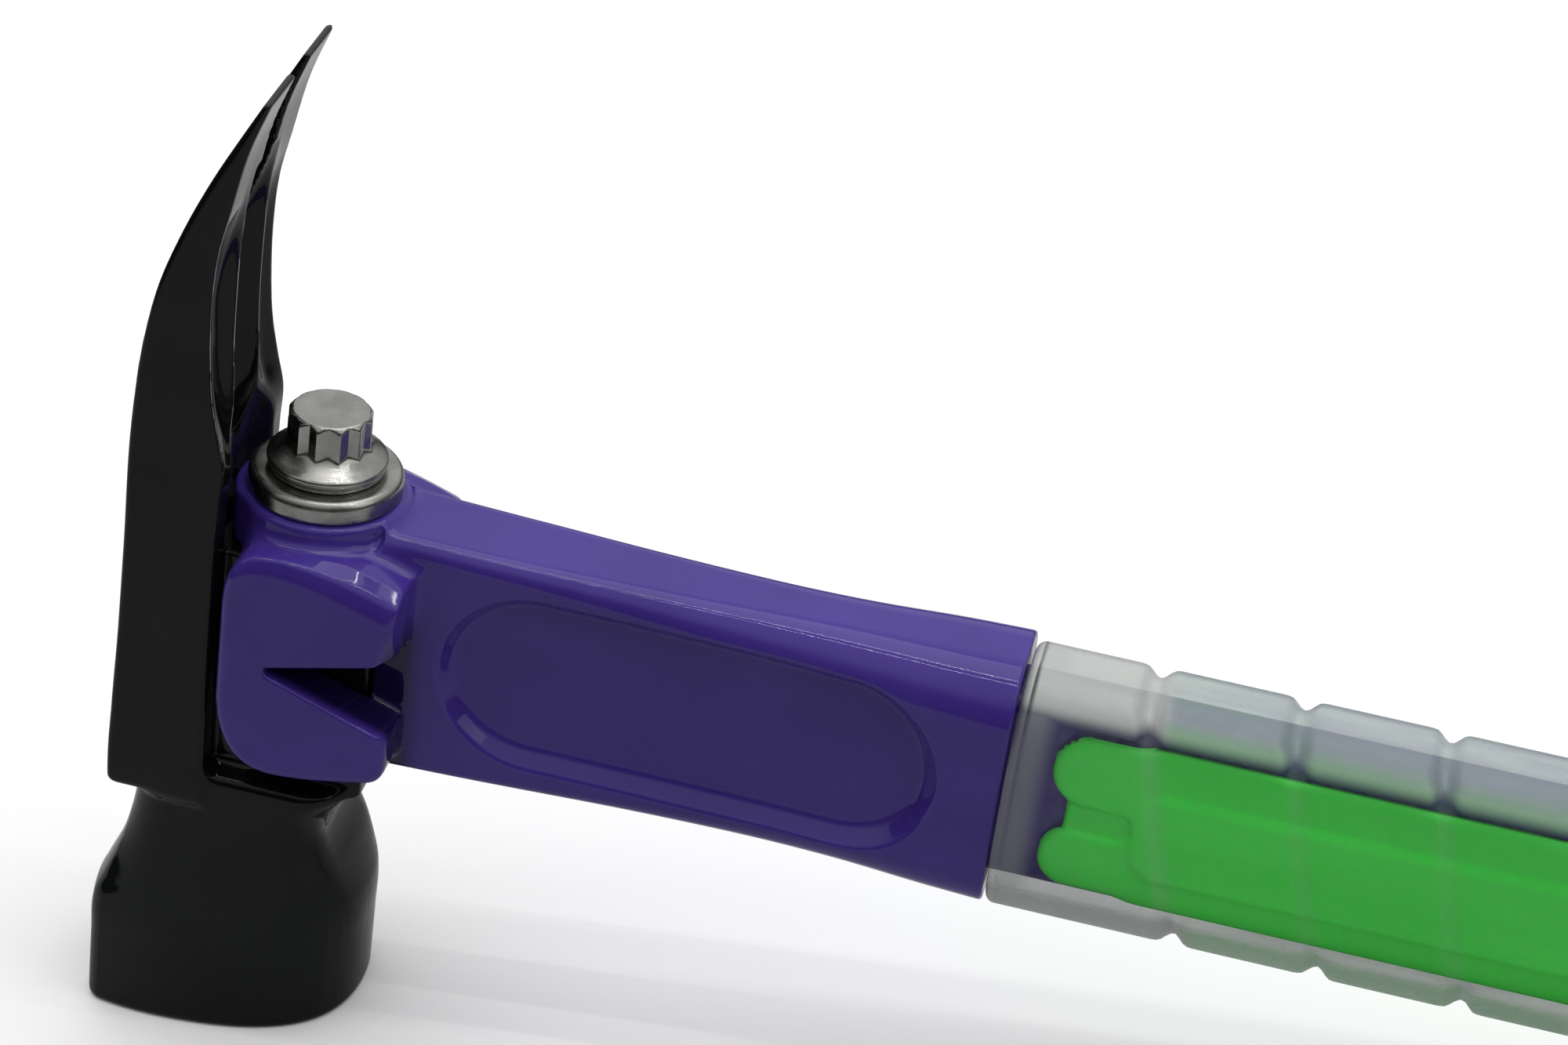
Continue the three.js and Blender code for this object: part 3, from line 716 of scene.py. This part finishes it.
# %% Grip skin
GRIP = {"start": 88.8, "end": 334.0, "middle": -18.6, "tall": 17.0, "wide": 10.5, "power": 2.8,
        "butt_round": 5.0, "lip": 1.2, "flare": (296.0, 324.0), "flare_wide": 0.8, "step": 0.55}
GROOVE = {"first": 108.3, "pitch": 17.75, "count": 11, "lean": 0.26, "depth": 1.3}
groove_depth = curve((-2.6, 0), (-1.7, 0.12), (-0.8, 0.72), (-0.2, 1.0), (0.4, 0.95), (1.0, 0.55),
                     (1.6, 0.12), (2.3, 0))
BUTT_DROP = (GRIP["middle"] - GRIP["tall"] - FACE_AT[1]
             - (GRIP["end"] - GRIP["butt_round"] - FACE_AT[0]) * FACE_SLOPE)


def grip_skin():
    """Rings of the grip: a superellipse, less the grooves, with rounded ends and a flared butt."""
    x = np.arange(GRIP["start"] + GRIP["lip"], GRIP["end"] - GRIP["butt_round"], GRIP["step"])
    turn = np.linspace(0, np.pi / 2, 9)
    start_x = GRIP["start"] + GRIP["lip"] * (1 - np.sin(turn))
    start_in = GRIP["lip"] * (1 - np.cos(turn))
    end_x = GRIP["end"] - GRIP["butt_round"] * (1 - np.sin(turn))
    end_in = GRIP["butt_round"] * (1 - np.cos(turn))
    along = np.concatenate([start_x[::-1], x, end_x])[:, None]
    inset = np.concatenate([start_in[::-1], 0 * x, end_in])[:, None]
    angle = np.linspace(0, 2 * np.pi, 160, endpoint=False)[None, :]
    swell = smooth_step(along, *GRIP["flare"])
    c, s = np.cos(angle), np.sin(angle)
    y = (GRIP["wide"] + GRIP["flare_wide"] * swell - inset) * np.sign(c) * np.abs(c) ** (2 / GRIP["power"])
    z = (GRIP["tall"] - inset) * np.sign(s) * np.abs(s) ** (2 / GRIP["power"])
    z = np.where(z < 0, z * (1 + BUTT_DROP * swell / GRIP["tall"]), z)
    place = along - GROOVE["first"] + GROOVE["lean"] * z
    nearest = np.clip(np.round(place / GROOVE["pitch"]), 0, GROOVE["count"] - 1)
    pinch = GROOVE["depth"] * groove_depth(place - nearest * GROOVE["pitch"])
    y, z = y * (1 - pinch * 0.8 / GRIP["wide"]), z * (1 - pinch / GRIP["tall"])
    return np.stack([along + 0 * y, y, GRIP["middle"] + z], axis=-1)


points, faces = capped(grip_skin()[:, ::-1])
grip = add_piece("grip_casting", points, faces, "handle", ["grip_sleeve"])

# %% [markdown]
# ## Plates
#
# A green plate lies on each side of the core. Its front end is split into two round fingers, and a
# low rounded panel stands on it. Its soft edges matter more than its corners, because it's seen
# through the grip.

# %% Plates
PLATE = {"start": 94.0, "end": 318.0, "top": -7.4, "bottom": -29.2, "inner": 5.3, "thick": 1.4,
         "slot_end": 104.5, "slot_top": -17.3, "slot_bottom": -20.8}
WEB = {"middle": 104.0, "height": -19.05, "long": 7.5, "tall": 3.0, "round": 0.5, "thick": 0.85}
PANEL = {"middle": 209.8, "height": -19.2, "long": 105.2, "tall": 6.5, "round": 4.2, "thick": 0.45}


def low_box(x, z, box):
    """Distance in the plate's plane to the rounded rectangle with those named sizes."""
    return round_box(x - box["middle"], z - box["height"], box["long"], box["tall"], box["round"])


def plate_shape(x, y, z):
    """Two fingers and a sheet as rounded rectangles, with a low panel on the outside."""
    out = np.abs(y)
    top, bottom, middle = PLATE["top"], PLATE["bottom"], (PLATE["start"] + PLATE["end"]) / 2
    run = (PLATE["end"] - PLATE["start"]) / 2
    upper, lower = (top - PLATE["slot_top"]) / 2, (PLATE["slot_bottom"] - bottom) / 2
    fingers = np.minimum(round_box(x - middle, z - top + upper, run, upper, upper - 0.2),
                         round_box(x - middle, z - bottom - lower, run, lower, lower - 0.2))
    sheet = round_box(x - (PLATE["slot_end"] + PLATE["end"]) / 2, z - (top + bottom) / 2,
                      (PLATE["end"] - PLATE["slot_end"]) / 2, (top - bottom) / 2, 2.5)
    web = meet(low_box(x, z, WEB), out - PLATE["inner"] - WEB["thick"], 0.3)
    outline = join(fingers, sheet, 2.2)
    panel = 1 - smooth_step(low_box(x, z, PANEL), -1.0, 0.4)
    skin = out - PLATE["inner"] - PLATE["thick"] - PANEL["thick"] * panel
    return meet(np.minimum(meet(outline, skin * 0.9, 1.1), web), PLATE["inner"] - out, 0.2)


def one_side(side):
    """The plate on that side of the handle."""
    return lambda x, y, z: meet(plate_shape(x, y, z), -side * y, 0.1)


plates = []
for side, place in ((-1, "left"), (1, "right")):
    near, far = sorted((side * 4, side * 8.6))
    points, faces, normals = level_surface(one_side(side), (92.5, near, -30.6), (319.6, far, -6.0), 0.7)
    plates.append(add_piece(f"green_plate_{place}", points, faces, "handle",
                            [f"grip_plate_{place}"], normals))

# %% [markdown]
# ## Finishes
#
# Every finish is worked out from the object's own coordinates, so it stays put in every view. Each
# number that is the same all over is set on the shader's own socket. Lengths are in the hammer's
# millimetres.

# %% Helpers for finishes
HAMMER_TURN = -lean


def new_finish(name):
    """A material, its tree, its shader, and the place in the hammer's axes in millimetres."""
    material = bpy.data.materials.new(name)
    material.use_nodes = True
    tree = material.node_tree
    where = tree.nodes.new("ShaderNodeTexCoord")
    place = tree.nodes.new("ShaderNodeMapping")
    place.inputs["Scale"].default_value = (1 / MM, 1 / MM, 1 / MM)
    place.inputs["Rotation"].default_value = (0, HAMMER_TURN, 0)
    place.inputs["Location"].default_value = (-bolt_seat @ LEAN / MM).tolist()
    tree.links.new(where.outputs["Object"], place.inputs["Vector"])
    return material, tree, tree.nodes["Principled BSDF"], place.outputs[0]


def noise(tree, where, size, detail=2.0, rough=0.5, stretch=None):
    """Noise with grains of about that many millimetres, drawn out along an axis if asked."""
    if stretch:
        mapping = tree.nodes.new("ShaderNodeMapping")
        mapping.inputs["Scale"].default_value = stretch
        tree.links.new(where, mapping.inputs["Vector"])
        where = mapping.outputs[0]
    item = tree.nodes.new("ShaderNodeTexNoise")
    item.inputs["Scale"].default_value = 1 / size
    item.inputs["Detail"].default_value = detail
    item.inputs["Roughness"].default_value = rough
    tree.links.new(where, item.inputs["Vector"])
    return item.outputs["Fac"]


def spread(tree, value, low, high, from_low=0.3, from_high=0.7):
    """A value carried smoothly from one range to another, and held at its ends."""
    item = tree.nodes.new("ShaderNodeMapRange")
    item.interpolation_type = "SMOOTHSTEP"
    for name, number in (("From Min", from_low), ("From Max", from_high), ("To Min", low), ("To Max", high)):
        item.inputs[name].default_value = number
    tree.links.new(value, item.inputs["Value"])
    return item.outputs["Result"]


def combined(tree, kind, one, two):
    """Two values, each a socket or a number, put through a Math node."""
    item = tree.nodes.new("ShaderNodeMath")
    item.operation = kind
    for socket, value in zip(item.inputs, (one, two)):
        if isinstance(value, float):
            socket.default_value = value
        else:
            tree.links.new(value, socket)
    return item.outputs[0]


def blended(tree, factor, one, two):
    """One colour where factor is 0 and the other where it is 1; either may be a socket."""
    item = tree.nodes.new("ShaderNodeMix")
    item.data_type = "RGBA"
    tree.links.new(factor, item.inputs["Factor"])
    for socket, value in ((item.inputs[6], one), (item.inputs[7], two)):
        if isinstance(value, tuple):
            socket.default_value = (*value, 1)
        else:
            tree.links.new(value, socket)
    return item.outputs[2]


def raised(tree, shader, height, distance):
    """A fine relief, in metres, on the shader's normal."""
    bump = tree.nodes.new("ShaderNodeBump")
    bump.inputs["Strength"].default_value = 1.0
    bump.inputs["Distance"].default_value = distance
    tree.links.new(height, bump.inputs["Height"])
    tree.links.new(bump.outputs["Normal"], shader.inputs["Normal"])


# %% Gloss black, purple coat and steel
def gloss_black():
    """A deep black gloss coat over forged steel, faintly wavy, with a few duller patches."""
    material, tree, shader, where = new_finish("gloss_black")
    tone = spread(tree, noise(tree, where, 14, 3), 0, 1)
    tree.links.new(blended(tree, tone, (0.0034, 0.0046, 0.0041), (0.0056, 0.0072, 0.0066)),
                   shader.inputs["Base Color"])
    tree.links.new(spread(tree, noise(tree, where, 6, 4, 0.6), 0.03, 0.08), shader.inputs["Roughness"])
    shader.inputs["IOR"].default_value = 1.29
    raised(tree, shader, noise(tree, where, 5, 2), 0.00002)
    return material


def purple_coat():
    """A glossy powder coat: deep violet, uneven, with painted shade inside the side puller and the channel,
    and orange peel.
    """
    material, tree, shader, where = new_finish("purple_coat")
    tone = spread(tree, noise(tree, where, 18, 3), 0, 1)
    coat = blended(tree, tone, (0.050, 0.026, 0.235), (0.060, 0.032, 0.270))
    split = tree.nodes.new("ShaderNodeSeparateXYZ")
    tree.links.new(where, split.inputs[0])
    along, across, up = split.outputs
    # Painted shade: deep inside the cheeks' faces (the side puller, the channel, under the boss) the coat is
    # blended towards near black, where the upper lip shades it.
    painted_shade = spread(tree, combined(tree, "ABSOLUTE", across, 0.0), 1, 0, 12.6, 14.7)
    painted_shade = combined(tree, "MULTIPLY", painted_shade, spread(tree, up, 1, 0, -15.0, -9.0))
    painted_shade = combined(tree, "MULTIPLY", painted_shade, spread(tree, along, 1, 0, 13.6, 16.6))
    tree.links.new(blended(tree, painted_shade, coat, (0.010, 0.005, 0.050)), shader.inputs["Base Color"])
    tree.links.new(spread(tree, noise(tree, where, 7, 4, 0.6), 0.02, 0.06), shader.inputs["Roughness"])
    shader.inputs["IOR"].default_value = 1.38
    raised(tree, shader, noise(tree, where, 2.6, 2), 0.000012)
    return material


def turned_steel(name, bright, rough):
    """Stainless steel turned about the bolt's axis: fine rings in its relief and worn patches."""
    material, tree, shader, where = new_finish(name)
    tone = spread(tree, noise(tree, where, 5, 4, 0.6), 0, 1, 0.35, 0.68)
    tree.links.new(blended(tree, tone, (bright * 0.74, bright * 0.74, bright * 0.69),
                           (bright, bright * 0.985, bright * 0.92)), shader.inputs["Base Color"])
    tree.links.new(spread(tree, noise(tree, where, 3.5, 5, 0.65), rough - 0.07, rough + 0.09),
                   shader.inputs["Roughness"])
    shader.inputs["Metallic"].default_value = 1.0
    raised(tree, shader, noise(tree, where, 6, 2, 0.5, (1, 1, 16)), 0.00002)
    return material


def nickel():
    """Bright plate with a faint haze."""
    material, tree, shader, where = new_finish("nickel_plate")
    tree.links.new(spread(tree, noise(tree, where, 2.5, 3), 0.14, 0.26), shader.inputs["Roughness"])
    shader.inputs["Base Color"].default_value = (0.68, 0.67, 0.65, 1)
    shader.inputs["Metallic"].default_value = 1.0
    return material


# %% Clear and green urethane
GROOVE_ZERO = GROOVE["first"] + GROOVE["lean"] * GRIP["middle"]


def clear_urethane():
    """Frosted clear urethane: nearly clear over the plates, milky above, below and behind them, coloured
    with painted light scattered from the plates and the core.
    """
    material, tree, shader, where = new_finish("frosted_clear")
    split = tree.nodes.new("ShaderNodeSeparateXYZ")
    tree.links.new(where, split.inputs[0])
    along, across, up = split.outputs
    streak = noise(tree, where, 7, 4, 0.6, (0.16, 1, 1))
    crown = spread(tree, up, 0, 1, -5.4, -3.4)
    turns = combined(tree, "ADD", along, combined(tree, "MULTIPLY", up, GROOVE["lean"]))
    collar = spread(tree, turns, 1, 0, 104.0, 107.0)
    foot = spread(tree, up, 1, 0, -30.0, -27.6)
    early = spread(tree, along, 1, 0, 91.5, 95.0)
    in_collar = combined(tree, "MULTIPLY", collar, 0.12)
    top_milk = combined(tree, "ADD", spread(tree, streak, 0.72, 0.88), in_collar)
    milk = combined(tree, "MULTIPLY", crown, top_milk)
    foot_milk = combined(tree, "MULTIPLY", foot, spread(tree, streak, 0.70, 0.82))
    milk = combined(tree, "MAXIMUM", milk, foot_milk)
    milk = combined(tree, "MAXIMUM", milk, combined(tree, "MULTIPLY", early, 0.40))
    butt = spread(tree, along, 0, 0.62, CORE["end"] - 4.0, CORE["end"] + 1.0)
    milk = combined(tree, "MAXIMUM", milk, butt)
    turns = combined(tree, "DIVIDE", combined(tree, "SUBTRACT", turns, GROOVE_ZERO), GROOVE["pitch"])
    groove = spread(tree, combined(tree, "PINGPONG", turns, 0.5), 0.11, 0, 0.03, 0.10)
    groove = combined(tree, "MULTIPLY", groove, spread(tree, along, 1, 0, 290.0, 294.0))
    film = combined(tree, "ADD", spread(tree, noise(tree, where, 1.4, 3), 0.05, 0.10), groove)
    milk = combined(tree, "MAXIMUM", milk, film)
    tree.links.new(milk, shader.inputs["Alpha"])
    # Painted light: the urethane's colour is green where light scattered from the green plates would show
    # through it, and greyish blue above the purple core.
    above_core = spread(tree, combined(tree, "ABSOLUTE", across, 0.0), 1, 0, 5.0, 7.6)
    above_core = combined(tree, "MULTIPLY", above_core, spread(tree, streak, 0.72, 1.0, 0.36, 0.62))
    painted_scatter = blended(tree, above_core, (0.29, 0.52, 0.29), (0.225, 0.262, 0.30))
    neutral = combined(tree, "MAXIMUM", collar, early)
    tree.links.new(blended(tree, neutral, painted_scatter, (0.42, 0.44, 0.42)), shader.inputs["Base Color"])
    tree.links.new(spread(tree, noise(tree, where, 3, 3, 0.6), 0.26, 0.42), shader.inputs["Roughness"])
    shader.inputs["IOR"].default_value = 1.48
    raised(tree, shader, noise(tree, where, 1.2, 3), 0.00001)
    return material


def green_urethane():
    """Bright lime green, matt, with faint flow marks."""
    material, tree, shader, where = new_finish("lime_green")
    tone = spread(tree, noise(tree, where, 12, 3, 0.5, (0.3, 1, 1)), 0, 1)
    tree.links.new(blended(tree, tone, (0.046, 0.83, 0.066), (0.066, 0.93, 0.086)),
                   shader.inputs["Base Color"])
    shader.inputs["Roughness"].default_value = 0.55
    raised(tree, shader, noise(tree, where, 4, 2), 0.00002)
    return material


def pale_floor():
    """Plain matt paper: the hammer sees a small dim sheet of it, the camera sees it pale all over."""
    material, tree, shader, where = new_finish("pale_floor")
    shader.inputs["Base Color"].default_value = (FLOOR_TONE, FLOOR_TONE, FLOOR_TONE, 1)
    shader.inputs["Roughness"].default_value = 0.8
    shader.inputs["Specular IOR Level"].default_value = 0.0
    dim = tree.nodes.new("ShaderNodeBsdfDiffuse")
    length = tree.nodes.new("ShaderNodeVectorMath")
    length.operation = "LENGTH"
    tree.links.new(where, length.inputs[0])
    sheet = spread(tree, length.outputs["Value"], 0, 1, 240.0, 560.0)
    tree.links.new(blended(tree, sheet, (FLOOR_BOUNCE,) * 3, (0.03,) * 3), dim.inputs["Color"])
    path = tree.nodes.new("ShaderNodeLightPath")
    mix = tree.nodes.new("ShaderNodeMixShader")
    tree.links.new(path.outputs["Is Camera Ray"], mix.inputs[0])
    tree.links.new(dim.outputs[0], mix.inputs[1])
    tree.links.new(shader.outputs[0], mix.inputs[2])
    tree.links.new(mix.outputs[0], tree.nodes["Material Output"].inputs["Surface"])
    return material


purple = purple_coat()
green = green_urethane()
for piece, finish in ((head, gloss_black()), (handle, purple), (core, purple), (magnet, nickel()),
                      (washer, turned_steel("washer_steel", 0.34, 0.26)),
                      (bolt, turned_steel("bolt_steel", 0.37, 0.25)),
                      (grip, clear_urethane()), (plates[0], green), (plates[1], green),
                      (floor, pale_floor())):
    piece.data.materials.append(finish)
